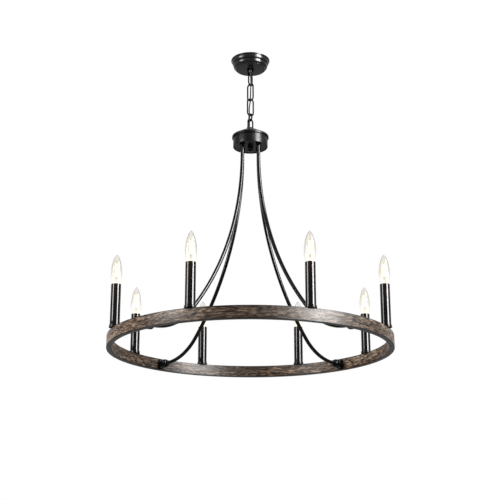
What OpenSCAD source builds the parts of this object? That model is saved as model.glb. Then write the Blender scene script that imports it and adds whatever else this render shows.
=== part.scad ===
// Wagon wheel chandelier: a wood-grained steel ring with eight candle lamps, carried by four
// bent tube arms, a round hub, a short chain and a ceiling canopy.
//
// The origin is on the ceiling, in the middle of the crossbar, and the light hangs towards -Z.
// -Y is the front. Azimuths run anticlockwise from the front, seen from above.

/* [Ceiling fitting] */
// Diameter of the canopy over its rolled rim
canopy_d = 103; // [98:1:112]
// Depth of the canopy, from the ceiling to its flat bottom
canopy_depth = 26.5; // [26:0.5:34]
// Diameter of the flat bottom of the canopy
canopy_flat_d = 78; // [72:1:80]
// Sheet thickness of the canopy
canopy_wall = 1.2; // [0.8:0.1:1.5]
// Gap between each end of the crossbar and the rim of the canopy
crossbar_end_gap = 5.5; // [4.5:0.5:7]
// Width of the crossbar
crossbar_w = 16; // [15:0.5:17]
// Thickness of the crossbar
crossbar_t = 2; // [1.5:0.25:2.25]
// How far the middle of the crossbar is dropped below the ceiling
crossbar_drop = 12; // [10:0.5:12]
// Distance between the two slots for the outlet box screws
slot_spacing = 70; // [68:1:72]
// Length of each slot, end to end
slot_length = 10; // [8:0.5:11]
// Width of each slot
slot_w = 4.6; // [4.2:0.1:5]
// Outside diameter of the threaded nipple and of the rod in the hub
nipple_d = 10; // [9:0.5:10.5]
// Bore of the nipple and of the rod
nipple_bore = 6.5; // [5:0.5:7]

/* [Chain] */
// Diameter of the wire of the links and loops
wire_d = 4; // [3.5:0.25:4.25]
// Outside width of the oval links
link_w = 21.5; // [20.5:0.5:24]
// Outside length of the two long links
link_length = 52; // [48:1:58]
// Outside length of the shorter link at the canopy
top_link_length = 38; // [36:1:44]
// Outside length of the short link above the hub
short_link_length = 23; // [22.5:0.5:28]
// Outside width of the short link above the hub
short_link_w = 18; // [17.5:0.5:20]
// Outside width of the canopy loop
canopy_loop_w = 17; // [16.5:0.5:18]
// Straight part of the legs of the canopy loop
canopy_loop_leg = 6.5; // [5:0.5:10]
// Outside width of the hub loop
hub_loop_w = 20; // [19:0.5:21]
// Straight part of the legs of the hub loop
hub_loop_leg = 17; // [15:0.5:20]
// Height of the threaded collar on the canopy loop and on the hub loop
loop_collar_h = 4; // [3:0.5:6]
// Running gap between two pieces of chain that hang in each other
chain_gap = 0.3; // [0.2:0.05:0.5]

/* [Power cord] */
// Outside diameter of the power cord
cord_d = 3.2; // [2.8:0.1:3.5]

/* [Hub] */
// Diameter of the hub body
hub_d = 90.8; // [88:0.2:96]
// Height of the hub body below the lip of its cap
hub_body_h = 25.2; // [24:0.1:32]
// How far the lip of the cap stands out over the body, all round
hub_lip_out = 2.8; // [2:0.1:4]
// Height of the lip of the cap
hub_lip_h = 6; // [4:0.5:8]
// Height of the sloping top of the cap, from the lip to the flat neck
hub_cone_h = 17; // [14:0.5:20]
// Diameter of the flat neck of the cap
hub_neck_d = 34; // [34:0.5:38]
// Sheet thickness of the hub cap and the hub body
hub_wall = 1.5; // [1:0.1:1.8]
// Thickness of the hub's bottom plate
hub_plate_t = 2; // [1.5:0.25:3]
// Diameter of the finial under the hub
finial_d = 16; // [14:0.5:20]
// Height of the finial below its plate
finial_h = 14; // [12:0.5:20]

/* [Arms] */
// Outside diameter of the arm tubes
arm_d = 9.5; // [8.5:0.25:10.5]
// Wall of the arm tubes
arm_wall = 1.2; // [0.8:0.1:1.5]
// Radius of the circle on which the arms leave the hub
arm_circle_r = 29.5; // [28:0.5:31]
// Length of the arms' straight drop below the hub body, before the sweep starts
arm_drop = 22; // [19:0.5:60]
// Bend radius of the long upper sweep
sweep_r = 685; // [660:1:720]
// Bend radius where the arm turns level
foot_r = 151; // [140:1:160]
// Length of the level run of the tube, up to its end in the barrel
level_run = 12.25; // [10:0.25:20]
// Diameter of the turned ferrule and barrel at the end of each arm
barrel_d = 23.5; // [21:0.5:25]
// Length of the barrel against the ring's pad
barrel_length = 13; // [11:0.5:14]
// Length of the domed ferrule on the tube
ferrule_length = 12; // [9:0.5:14]
// Width of the curved pad on the ring's inner face
pad_w = 17; // [14:0.5:22]
// Thickness of the pad
pad_t = 2; // [1.5:0.25:2.5]
// Outside diameter of the hollow studs in the ring
stud_d = 8; // [7:0.5:9]

/* [Ring] */
// Outside diameter of the ring
ring_d = 711; // [704:1:722]
// Radial thickness of the ring
ring_t = 13; // [12.5:0.5:15]
// Height of the ring
ring_h = 30; // [27:0.5:36]
// Sheet thickness of the ring
ring_wall = 1.2; // [0.8:0.1:1.4]
// Chamfer along the ring's edges
ring_edge = 0.6; // [0.4:0.05:0.75]

/* [Candles] */
// Angle by which the rear side lamps stand further back than even spacing
rear_side_shift = 6.5; // [0:0.5:8]
// Outside diameter of the candle sleeves
sleeve_d = 24; // [22.5:0.5:26]
// Wall of the candle sleeves
sleeve_wall = 1.2; // [0.8:0.1:1.4]
// Height of the sleeve tops above the ring
sleeve_top = 106; // [90:1:125]
// Height of the cup at the foot of each sleeve
cup_h = 6; // [5:0.5:10]
// Wall of the cup
cup_wall = 1.3; // [1:0.1:2]
// How much wider the cup is at its foot than at its rim, all round
cup_flare = 0.6; // [0.2:0.1:1.2]
// Outside diameter of the hollow post under each socket
post_d = 8; // [7:0.5:8.5]
// Bore of the posts and of the studs
post_bore = 5; // [4.2:0.1:5.5]
// Outside diameter of the sockets
socket_d = 17.2; // [16.5:0.1:18.5]
// Length of the sockets
socket_length = 32; // [30:0.5:40]
// How far the sockets end below the tops of the sleeves
socket_depth = 6; // [5:0.5:8]
// Bore of the brass screw shell in the socket
shell_bore = 12.5; // [12.4:0.05:12.6]

/* [Bulbs] */
// Largest diameter of the bulb glass
bulb_d = 28; // [25:0.5:32]
// Height of the bulb glass above the sleeve
bulb_h = 75; // [70:1:90]
// Height of the widest place above the sleeve
bulb_belly_h = 22; // [18:1:26]
// Diameter of the neck of the glass
bulb_neck_d = 16; // [14.5:0.5:17]
// Wall of the glass
glass_wall = 0.8; // [0.6:0.1:1]
// Diameter of the bulb's screw base
base_d = 11.9; // [11.7:0.05:12]
// Length of the bulb's screw base
base_length = 18; // [16:0.5:19]
// Length of each glowing filament
filament_length = 36; // [28:1:38]

/* [Finish] */
// Colour of the black metal
black_colour = "#1b1b1c";
// Colour of the wood-grained ring
wood_colour = "#74665a";
// Colour of the brass pieces
brass_colour = "#c9a24a";
// Colour of the plated steel pieces
steel_colour = "#b6b8ba";
// Colour of the bulb glass
glass_colour = "#f3efe4";

/* [Hidden] */
$fn = 48;
ring_fn = 180;
// Play between a thread or tube and the hole it stands in, on the radius
fit = 0.05;
// How far a cutting shape reaches past what it cuts
cut = 1;

// ---- azimuths ----
candle_count = 8;
candle_step = 360 / candle_count;
function rear_shift(k) = k == 2 ? rear_side_shift : k == candle_count - 3 ? -rear_side_shift : 0;
candle_az = [for (k = [0 : candle_count - 1]) (k + 0.5) * candle_step + rear_shift(k)];
arm_az = [45, 135, 225, 315];

// ---- ceiling fitting ----
canopy_flat_z = -canopy_depth;
rim_h = 3;
rim_out = 2.3;
rim_edge = 0.6;
groove_in = 1.2;
groove_half = 1;
groove_floor = 0.6;
shoulder_step = 3.5;
foot_flare = 1.5;
step_h = 3;
crossbar_length = canopy_d - 2 * crossbar_end_gap;
crossbar_flat_half = 21;
crossbar_end_half = 22;
bar_bottom_z = -crossbar_drop - crossbar_t;
locknut_af = 15;
locknut_h = 3;
nipple_tail = 0.5;
nipple_top_z = -crossbar_drop + locknut_h;
nipple_bottom_z = canopy_flat_z - loop_collar_h + nipple_tail;
canopy_collar_d = canopy_loop_w + 1;
ground_screw_x = -15.5;
ground_screw_d = 4;
ground_head_d = 7;
ground_head_h = 2;
ground_slot_w = 1;

// ---- chain: each piece hangs in the one above it ----
hang = 2 * wire_d + chain_gap;
canopy_loop_z = canopy_flat_z - loop_collar_h - canopy_loop_leg - canopy_loop_w / 2;
top_link_z = canopy_loop_z + hang - top_link_length;
link_2_z = top_link_z + hang - link_length;
link_3_z = link_2_z + hang - link_length;
short_link_z = link_3_z + hang - short_link_length;
hub_loop_top_z = short_link_z + hang;
// Turn of each piece's plane about the vertical, from +X
canopy_loop_yaw = -30;
top_link_yaw = 58;
link_2_yaw = -34;
link_3_yaw = 30;
short_link_yaw = -58;
hub_loop_yaw = 40;

// ---- hub ----
loop_foot_h = 2.5;
loop_foot_d = 15;
loop_bar_w = wire_d + 2;
hub_collar_z = hub_loop_top_z - hub_loop_w / 2 - hub_loop_leg - loop_collar_h;
hub_neck_z = hub_collar_z - loop_foot_h;
hub_lip_top_z = hub_neck_z - hub_cone_h;
hub_lip_z = hub_lip_top_z - hub_lip_h;
hub_bottom_z = hub_lip_z - hub_body_h;
hub_r = hub_d / 2;
hub_lip_r = hub_r + hub_lip_out;
hub_ledge_h = 1;
hub_ledge_w = 1.6;
hub_body_top_z = hub_lip_top_z - hub_wall / 2;
plate_z = hub_bottom_z + hub_ledge_h;
plate_top_z = plate_z + hub_plate_t;
arm_nut_h = 4;
arm_nut_af = 14;
arm_top_z = plate_top_z + arm_nut_h + 4;
junction_gap = 4;
junction_z = arm_top_z + junction_gap;
junction_h = 10;
junction_d = 76;
junction_edge = 1;
arm_collar_h = 4;
arm_collar_d = arm_d + 4.5;
finial_seat = 8;
finial_band = 1.6;
finial_groove = 1.4;
rod_tail = 1;
rod_top_z = hub_collar_z + loop_collar_h - nipple_tail;
rod_bottom_z = plate_z - finial_seat + rod_tail;

// ---- ring ----
ring_outer_r = ring_d / 2;
ring_inner_r = ring_outer_r - ring_t;
ring_mid_r = ring_outer_r - ring_t / 2;

// ---- arms: a straight drop, the sweep, the foot bend and a level run ----
arm_bore = arm_d - 2 * arm_wall;
seam_bead = 0.02;
pad_r = ring_inner_r - pad_t;
pad_h = barrel_d + 0.5;
// The barrel's flat face meets the hollow side of the pad along the pad's two edges
barrel_face_r = sqrt(pow(pad_r, 2) - pow(pad_w / 2, 2));
barrel_r = barrel_face_r - barrel_length;
ferrule_r = barrel_r - ferrule_length;
barrel_edge = 2;
tube_seat = 2.5;
ferrule_step = 0.4;
ferrule_lip = 1;
arm_end_r = barrel_r + tube_seat;
// The sweep turns until the foot bend, which ends where the level run starts, is reached
sweep_centre_r = arm_circle_r + sweep_r;
foot_centre_r = arm_end_r - level_run;
sweep_angle = acos((sweep_centre_r - foot_centre_r) / (sweep_r - foot_r));
// The arms hang from the hub: the ring's height follows from their straight drop and bends
sweep_centre_z = hub_bottom_z - arm_drop;
foot_centre_z = sweep_centre_z - (sweep_r - foot_r) * sin(sweep_angle);
arm_end_z = foot_centre_z - foot_r;
ring_top_z = arm_end_z + ring_h / 2;
stud_nut_h = 4;
stud_nut_af = 12;
stud_in_r = arm_end_r + 1;
stud_out_r = ring_inner_r + ring_wall + stud_nut_h + 0.5;
lead_d = 3;
ring_wire_r = ring_mid_r + 1.2;
branch_foot = 0.8;

// ---- candles, measured from the top of the ring ----
cup_floor = 1.2;
cup_play = 0.2;
socket_z = sleeve_top - socket_depth - socket_length;
socket_floor = 5;
socket_top_z = socket_z + socket_length;
post_seat = 3;
shell_wall = 0.4;
shell_length = 24;
post_nut_af = 10;
post_nut_h = 3;
post_tail = ring_wall + post_nut_h + 1;

// ---- bulbs, measured from the top of the ring ----
bulb_top_z = sleeve_top + bulb_h;
bulb_belly_z = sleeve_top + bulb_belly_h;
bulb_neck_z = sleeve_top - 1;
base_top_z = socket_top_z + 1;
base_z = base_top_z - base_length;
base_tip_h = 2;
base_tip_d = 5;
base_tip_edge = 0.6;
base_edge = 1.5;
contact_gap = 0.3;
thread_rings = 5;
thread_depth = 0.35;
thread_foot = 2.5;
thread_head = 3.5;
stem_top_z = sleeve_top + 18;
stem_d = 5.6;
stem_edge = 0.5;
filament_foot_r = 2;
filament_head_r = 4.6;
filament_d = 1.5;
filament_count = 4;
filament_tilt = asin((filament_head_r - filament_foot_r) / filament_length);
support_d = 0.7;
// Rounding of the bulb: a full oval from the widest place to the tip, and the curve to the neck
tip_power = 0.6;
neck_power = 2.2;

// ---- power cord: from the terminal block, along the chain, to the junction in the hub ----
canopy_bushing_at = [0, -13.5];
hub_bushing_at = [-2.7, -12.2];
bushing_wall = 1.1;
bushing_flange_h = 1;
bushing_flange_out = 1.2;
terminal_w = 16;
terminal_depth = 11;
terminal_h = 8.5;
terminal_y = -15;
terminal_hole_d = 3;
terminal_hole_depth = 7;
terminal_pitch = 5;
cord_sides = 8;
cord_route = [
    [0, -13.5, -22.5], [0, -13.5, -26.5], [0, -13.5, -31], [0.1, -13.1, -38], [0.5, -11.8, -46],
    [1, -9.8, -54], [1.4, -7.8, -62], [1.5, -6.6, -70], [1.2, -5.2, -78], [0.8, -2.6, -86],
    [0.5, 0.4, -94], [0.2, 3.4, -102], [0, 5.6, -109], [-0.3, 6.2, -115], [-0.9, 5, -122],
    [-2, 2.2, -130], [-2.9, -1.2, -138], [-3.2, -4.4, -146], [-2.8, -6.4, -154],
    [-2.4, -7.4, -162], [-2.4, -8.2, -170], [-2.5, -9.4, -178], [-2.6, -10.8, -186],
    [-2.7, -11.8, -194], [-2.7, -12.2, -202], [-2.7, -12.2, -213], [-2.7, -12.2, -225.7]
];

// ---------------------------------------------------------------- shared shapes

// Moves children to an azimuth and a distance from the axis; +X then points outwards.
module at_azimuth(az, r = 0) {
    rotate([0, 0, az - 90]) translate([r, 0, 0]) children();
}

// Moves children to the foot of a candle, on top of the ring.
module at_candle(k) {
    at_azimuth(candle_az[k], ring_mid_r) translate([0, 0, ring_top_z]) children();
}

module at_each_candle() {
    for (k = [0 : candle_count - 1]) at_candle(k) children();
}

// Lays children, drawn along +Z, along an arm's level run, starting at a distance from the axis.
module along_arm_end(az, r) {
    at_azimuth(az, r) translate([0, 0, arm_end_z]) rotate([0, 90, 0]) children();
}

module pipe(outer_d, inner_d, h) {
    difference() {
        cylinder(d = outer_d, h = h);
        translate([0, 0, -cut]) cylinder(d = inner_d, h = h + 2 * cut);
    }
}

module hex_nut(across_flats, h, thread_d) {
    difference() {
        cylinder(d = across_flats / cos(30), h = h, $fn = 6);
        translate([0, 0, -cut]) cylinder(d = thread_d + 2 * fit, h = h + 2 * cut);
    }
}

// Half a ring of round wire that stands in the XZ plane, its ends on z = 0.
module wire_arch(bend_r) {
    rotate([90, 0, 0]) rotate_extrude(angle = 180) translate([bend_r, 0]) circle(d = wire_d);
}

// A closed oval link of round wire in the XZ plane, its lowest point on z = 0.
module oval_link(length, width) {
    bend_r = (width - wire_d) / 2;
    straight = length - width;
    translate([0, 0, width / 2 + straight]) wire_arch(bend_r);
    translate([0, 0, width / 2]) rotate([0, 180, 0]) wire_arch(bend_r);
    for (side = [-1, 1])
        translate([side * bend_r, 0, width / 2]) cylinder(d = wire_d, h = straight);
}

// An arch of round wire on two straight legs, standing on z = 0.
module wire_bow(width, leg) {
    bend_r = (width - wire_d) / 2;
    translate([0, 0, leg]) wire_arch(bend_r);
    for (side = [-1, 1]) translate([side * bend_r, 0, 0]) cylinder(d = wire_d, h = leg);
}

// The unit direction from one point of an outline to the next.
function heading(a, b) = (b - a) / norm(b - a);

// The right-hand side of an outline at each of its points, mitred so that a wall stays even.
function side_step(p, i) =
    let (
        before = i == 0 ? heading(p[0], p[1]) : heading(p[i - 1], p[i]),
        after = i == len(p) - 1 ? before : heading(p[i], p[i + 1]),
        first = i == 0 ? after : before,
        right = [first[1], -first[0]],
        next = [after[1], -after[0]],
        middle = (right + next) / norm(right + next)
    ) middle / (middle * right);

// A closed outline of even thickness: the given outer line, and the same line stepped inwards.
function sheet_outline(p, t) =
    concat(p, [for (i = [len(p) - 1 : -1 : 0]) p[i] + t * side_step(p, i)]);

// ---------------------------------------------------------------- ceiling fitting

module slot_cut(x) {
    half = (slot_length - slot_w) / 2;
    for (side = [-1, 1])
        translate([x + side * half, 0, -crossbar_t - cut]) cylinder(d = slot_w, h = crossbar_t + 2 * cut);
    translate([x - half, -slot_w / 2, -crossbar_t - cut]) cube([2 * half, slot_w, crossbar_t + 2 * cut]);
}

// A strap with raised ends against the ceiling, a dropped middle and a tab for the terminals.
module crossbar() {
    half = crossbar_length / 2;
    wing_z = -crossbar_t;
    color(steel_colour) difference() {
        union() {
            rotate([90, 0, 0]) translate([0, 0, -crossbar_w / 2]) linear_extrude(crossbar_w)
                polygon([
                    [-half, 0], [-half, wing_z], [-crossbar_end_half, wing_z],
                    [-crossbar_flat_half, bar_bottom_z], [crossbar_flat_half, bar_bottom_z],
                    [crossbar_end_half, wing_z], [half, wing_z], [half, 0],
                    [crossbar_end_half - crossbar_t, 0],
                    [crossbar_flat_half - crossbar_t, -crossbar_drop],
                    [crossbar_t - crossbar_flat_half, -crossbar_drop],
                    [crossbar_t - crossbar_end_half, 0]
                ]);
            translate([-terminal_w / 2, terminal_y - terminal_depth / 2, bar_bottom_z])
                cube([terminal_w, terminal_depth / 2 - terminal_y, crossbar_t]);
        }
        translate([0, 0, bar_bottom_z - cut]) cylinder(r = nipple_d / 2 + fit, h = crossbar_t + 2 * cut);
        translate([ground_screw_x, 0, bar_bottom_z - cut])
            cylinder(r = ground_screw_d / 2 + fit, h = crossbar_t + 2 * cut);
        slot_cut(slot_spacing / 2);
        slot_cut(-slot_spacing / 2);
    }
}

module canopy_nipple() {
    color(steel_colour) translate([0, 0, nipple_bottom_z])
        pipe(nipple_d, nipple_bore, nipple_top_z - nipple_bottom_z);
}

// One nut on each side of the crossbar and one on the inside of the canopy.
module canopy_locknuts() {
    tops = [nipple_top_z, bar_bottom_z, canopy_flat_z + canopy_wall + locknut_h];
    color(steel_colour) for (top_z = tops)
        translate([0, 0, top_z - locknut_h]) hex_nut(locknut_af, locknut_h, nipple_d);
}

module ground_screw() {
    color("seagreen") translate([ground_screw_x, 0, bar_bottom_z]) {
        cylinder(d = ground_screw_d, h = crossbar_t + ground_head_h);
        difference() {
            translate([0, 0, -ground_head_h]) cylinder(d = ground_head_d, h = ground_head_h);
            translate([-ground_head_d / 2, -ground_slot_w / 2, -ground_head_h - cut])
                cube([ground_head_d, ground_slot_w, cut + ground_head_h / 2]);
        }
    }
}

// The insulating block that joins the house wires, in front, to the cord, below.
module terminal_block() {
    color("ivory") translate([0, terminal_y, bar_bottom_z - terminal_h]) difference() {
        translate([-terminal_w / 2, -terminal_depth / 2, 0]) cube([terminal_w, terminal_depth, terminal_h]);
        for (k = [-1 : 1])
            translate([k * terminal_pitch, -terminal_depth / 2 - cut, terminal_h / 2])
                rotate([-90, 0, 0]) cylinder(d = terminal_hole_d, h = cut + terminal_hole_depth);
    }
}

// The canopy's outer line, from its hole outwards and up to the ceiling: a flat bottom, a
// stepped edge, two rounded shoulders with a groove between them, and a rolled rim.
canopy_rim_r = canopy_d / 2;
canopy_neck_r = canopy_rim_r - rim_out;
canopy_groove_z = -canopy_depth / 2;
canopy_groove_r = canopy_neck_r - shoulder_step - groove_in;
shoulder_foot_r = canopy_flat_d / 2 + foot_flare;
shoulder_steps = 8;

function shoulder(r_in, z_in, r_out, z_out) = [
    for (i = [0 : shoulder_steps])
        let (a = 90 * i / shoulder_steps)
            [r_in + (r_out - r_in) * sin(a), z_out + (z_in - z_out) * cos(a)]
];

canopy_line = concat(
    [
        [nipple_d / 2 + fit, canopy_flat_z],
        [canopy_flat_d / 2, canopy_flat_z],
        [shoulder_foot_r, canopy_flat_z + step_h]
    ],
    shoulder(shoulder_foot_r + rim_edge, canopy_flat_z + step_h + rim_edge, canopy_groove_r + groove_in,
        canopy_groove_z - groove_half),
    [
        [canopy_groove_r, canopy_groove_z - groove_floor / 2],
        [canopy_groove_r, canopy_groove_z + groove_floor / 2]
    ],
    shoulder(canopy_groove_r + groove_in, canopy_groove_z + groove_half, canopy_neck_r, -rim_h - rim_edge),
    [[canopy_neck_r, -rim_h], [canopy_rim_r, -rim_h + rim_edge], [canopy_rim_r, 0]]
);

module canopy() {
    color(black_colour) difference() {
        rotate_extrude($fn = 96) polygon(sheet_outline(canopy_line, -canopy_wall));
        translate([canopy_bushing_at[0], canopy_bushing_at[1], canopy_flat_z - cut])
            cylinder(d = bushing_body_d + 2 * fit, h = canopy_wall + 2 * cut);
    }
}

module canopy_loop() {
    color(black_colour) translate([0, 0, canopy_flat_z - loop_collar_h]) rotate([0, 0, canopy_loop_yaw]) {
        pipe(canopy_collar_d, nipple_d + 2 * fit, loop_collar_h);
        mirror([0, 0, 1]) wire_bow(canopy_loop_w, canopy_loop_leg);
    }
}

// ---------------------------------------------------------------- power cord

bushing_bore = cord_d + 0.2;
bushing_body_d = bushing_bore + 2 * bushing_wall;

// A grommet in a sheet: a sleeve through the hole with a flange on each side.
module bushing(at, z, wall) {
    flange_d = bushing_body_d + 2 * bushing_flange_out;
    color(black_colour) translate([at[0], at[1], z]) {
        pipe(bushing_body_d, bushing_bore, wall);
        for (foot_z = [-bushing_flange_h, wall])
            translate([0, 0, foot_z]) pipe(flange_d, bushing_bore, bushing_flange_h);
    }
}

module canopy_bushing() {
    bushing(canopy_bushing_at, canopy_flat_z, canopy_wall);
}

module hub_bushing() {
    bushing(hub_bushing_at, hub_neck_z - hub_wall, hub_wall);
}

// Two points on the smooth curve between each pair of route points: a third and two thirds on.
function route_point(i) = cord_route[min(max(i, 0), len(cord_route) - 1)];
function between(i, t) =
    let (a = route_point(i - 1), b = route_point(i), c = route_point(i + 1), d = route_point(i + 2))
        0.5 * (2 * b + (c - a) * t + (2 * a - 5 * b + 4 * c - d) * t * t
            + (3 * b - a - 3 * c + d) * t * t * t);
cord_line = concat(
    [for (i = [0 : len(cord_route) - 2], t = [0, 0.5]) between(i, t)],
    [cord_route[len(cord_route) - 1]]
);

// The direction of the cord at each ring: straight down at its two ends.
function cord_heading(i) =
    i == 0 || i == len(cord_line) - 1
        ? [0, 0, -1]
        : (cord_line[i + 1] - cord_line[i - 1]) / norm(cord_line[i + 1] - cord_line[i - 1]);

// One ring of corners round the cord, square to it, always counted from the same side.
function cord_ring(i) =
    let (
        d = cord_heading(i),
        u = cross([0, 1, 0], d) / norm(cross([0, 1, 0], d)),
        v = cross(d, u)
    ) [
        for (k = [0 : cord_sides - 1])
            let (a = 360 * (k + 0.5) / cord_sides) cord_line[i] + cord_d / 2 * (cos(a) * u + sin(a) * v)
    ];

module power_cord() {
    rings = len(cord_line);
    last = (rings - 1) * cord_sides;
    color(black_colour) polyhedron(
        points = [for (i = [0 : rings - 1]) each cord_ring(i)],
        faces = concat(
            [[for (k = [0 : cord_sides - 1]) k]],
            [
                for (i = [0 : rings - 2], k = [0 : cord_sides - 1])
                    let (a = i * cord_sides, b = a + cord_sides, next = (k + 1) % cord_sides)
                        [a + k, b + k, b + next, a + next]
            ],
            [[for (k = [cord_sides - 1 : -1 : 0]) last + k]]
        )
    );
}

// ---------------------------------------------------------------- chain

module chain_link(z, yaw, length, width) {
    color(black_colour) translate([0, 0, z]) rotate([0, 0, yaw]) oval_link(length, width);
}

module top_link() {
    chain_link(top_link_z, top_link_yaw, top_link_length, link_w);
}

module link_2() {
    chain_link(link_2_z, link_2_yaw, link_length, link_w);
}

module link_3() {
    chain_link(link_3_z, link_3_yaw, link_length, link_w);
}

module short_link() {
    chain_link(short_link_z, short_link_yaw, short_link_length, short_link_w);
}

// ---------------------------------------------------------------- hub

// The loop's two legs stand on a round-ended bar with a threaded collar in its middle.
module hub_loop() {
    leg_x = (hub_loop_w - wire_d) / 2;
    color(black_colour) translate([0, 0, hub_collar_z]) rotate([0, 0, hub_loop_yaw]) {
        translate([0, 0, loop_collar_h]) wire_bow(hub_loop_w, hub_loop_leg);
        difference() {
            union() {
                translate([0, 0, -loop_foot_h]) cylinder(d = loop_foot_d, h = loop_collar_h + loop_foot_h);
                for (side = [-1, 1]) translate([side * leg_x, 0, 0]) cylinder(d = loop_bar_w, h = loop_collar_h);
                translate([-leg_x, -loop_bar_w / 2, 0]) cube([2 * leg_x, loop_bar_w, loop_collar_h]);
            }
            translate([0, 0, -loop_foot_h - cut])
                cylinder(r = nipple_d / 2 + fit, h = loop_collar_h + loop_foot_h + 2 * cut);
        }
    }
}

hub_cap_line = [
    [nipple_d / 2 + fit, hub_neck_z], [hub_neck_d / 2, hub_neck_z],
    [hub_lip_r - 1, hub_lip_top_z], [hub_lip_r, hub_lip_top_z - 1], [hub_lip_r, hub_lip_z]
];

// The sloping cap, whose lip hangs over the top of the hub body.
module hub_cap() {
    color(black_colour) difference() {
        rotate_extrude($fn = 96) polygon(sheet_outline(hub_cap_line, hub_wall));
        translate([hub_bushing_at[0], hub_bushing_at[1], hub_neck_z - hub_wall - cut])
            cylinder(d = bushing_body_d + 2 * fit, h = hub_wall + 2 * cut);
    }
}

// The straight side wall, with a ledge at its foot that carries the plate.
module hub_body() {
    edge = 0.5;
    color(black_colour) rotate_extrude($fn = 96) polygon([
        [hub_r - hub_wall, hub_body_top_z - hub_wall], [hub_r, hub_body_top_z - hub_wall],
        [hub_r, hub_bottom_z + edge], [hub_r - edge, hub_bottom_z],
        [hub_r - hub_wall - hub_ledge_w, hub_bottom_z],
        [hub_r - hub_wall - hub_ledge_w, plate_z], [hub_r - hub_wall, plate_z]
    ]);
}

module hub_plate() {
    color(black_colour) translate([0, 0, plate_z]) difference() {
        cylinder(r = hub_r - hub_wall - fit, h = hub_plate_t, $fn = 96);
        translate([0, 0, -cut]) cylinder(r = nipple_d / 2 + fit, h = hub_plate_t + 2 * cut);
        for (az = arm_az)
            at_azimuth(az, arm_circle_r) translate([0, 0, -cut])
                cylinder(r = arm_d / 2 + fit, h = hub_plate_t + 2 * cut);
    }
}

module hub_rod() {
    color(steel_colour) translate([0, 0, rod_bottom_z])
        pipe(nipple_d, nipple_bore, rod_top_z - rod_bottom_z);
}

// Nuts under the cap, on both sides of the junction and on top of the plate.
module rod_locknuts() {
    feet = [
        hub_neck_z - hub_wall - locknut_h, junction_z + junction_h, junction_z - locknut_h,
        plate_top_z
    ];
    color(steel_colour) for (foot_z = feet)
        translate([0, 0, foot_z]) hex_nut(locknut_af, locknut_h, nipple_d);
}

// The turned knob on the end of the rod, below the plate: a neck, a groove and a round end.
module hub_finial() {
    r = finial_d / 2;
    round_h = min(r, finial_h - 4);
    ball = [for (a = [0 : 15 : 90]) [r * cos(a), -finial_h + round_h * (1 - sin(a))]];
    color(black_colour) translate([0, 0, plate_z]) difference() {
        rotate_extrude() polygon(concat(
            [
                [0, 0], [r, 0], [r, -finial_band], [r - finial_groove, -1.5 * finial_band],
                [r - finial_groove, -2 * finial_band]
            ],
            ball
        ));
        translate([0, 0, -finial_seat]) cylinder(r = nipple_d / 2 + fit, h = finial_seat + cut);
    }
}

// The insulating disc in which the cord is joined to the four arm wires.
module hub_junction() {
    r = junction_d / 2;
    color("#2b2b2e") translate([0, 0, junction_z]) rotate_extrude() polygon([
        [nipple_d / 2 + fit, 0], [r, 0], [r, junction_h - junction_edge],
        [r - junction_edge, junction_h], [nipple_d / 2 + fit, junction_h]
    ]);
}

// ---------------------------------------------------------------- arms

// A solid round bar along the line of an arm, from a height inside the hub to a distance from
// the axis beside the ring. A hair-thin bead closes the seam between its two bends.
module arm_bar(az, d, top_z, end_r) {
    at_azimuth(az) {
        translate([arm_circle_r, 0, sweep_centre_z]) cylinder(d = d, h = top_z - sweep_centre_z);
        translate([sweep_centre_r, 0, sweep_centre_z]) rotate([90, 0, 0]) rotate([0, 0, 180])
            rotate_extrude(angle = sweep_angle) translate([sweep_r, 0]) circle(d = d);
        translate([sweep_centre_r - sweep_r * cos(sweep_angle), 0, sweep_centre_z - sweep_r * sin(sweep_angle)])
            sphere(d = d + 2 * seam_bead);
        translate([foot_centre_r, 0, foot_centre_z]) rotate([90, 0, 0]) rotate([0, 0, -90]) mirror([0, 1, 0])
            rotate_extrude(angle = 90 - sweep_angle) translate([foot_r, 0]) circle(d = d);
        translate([foot_centre_r, 0, arm_end_z]) rotate([0, 90, 0])
            cylinder(d = d, h = end_r - foot_centre_r);
    }
}

module arm(k) {
    color(black_colour) difference() {
        arm_bar(arm_az[k], arm_d, arm_top_z, arm_end_r);
        arm_bar(arm_az[k], arm_bore, arm_top_z + cut, arm_end_r + cut);
    }
}

module arm_collars() {
    color(black_colour) for (az = arm_az)
        at_azimuth(az, arm_circle_r) translate([0, 0, plate_z - arm_collar_h])
            pipe(arm_collar_d, arm_d + 2 * fit, arm_collar_h);
}

module arm_locknuts() {
    color(steel_colour) for (az = arm_az)
        at_azimuth(az, arm_circle_r) translate([0, 0, plate_top_z]) hex_nut(arm_nut_af, arm_nut_h, arm_d);
}

// The domed piece on the tube, whose wide end meets the barrel.
module arm_ferrules() {
    big_r = barrel_d / 2 - ferrule_step;
    small_r = arm_d / 2 + ferrule_lip;
    dome = [for (a = [0 : 10 : 90])
        [small_r + (big_r - small_r) * sin(a), (ferrule_length - barrel_edge) * (1 - cos(a))]];
    color(black_colour) for (az = arm_az) along_arm_end(az, ferrule_r) rotate_extrude() polygon(concat(
        [[arm_d / 2 + fit, ferrule_length], [arm_d / 2 + fit, 0]], dome,
        [[big_r - barrel_edge, ferrule_length]]
    ));
}

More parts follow.
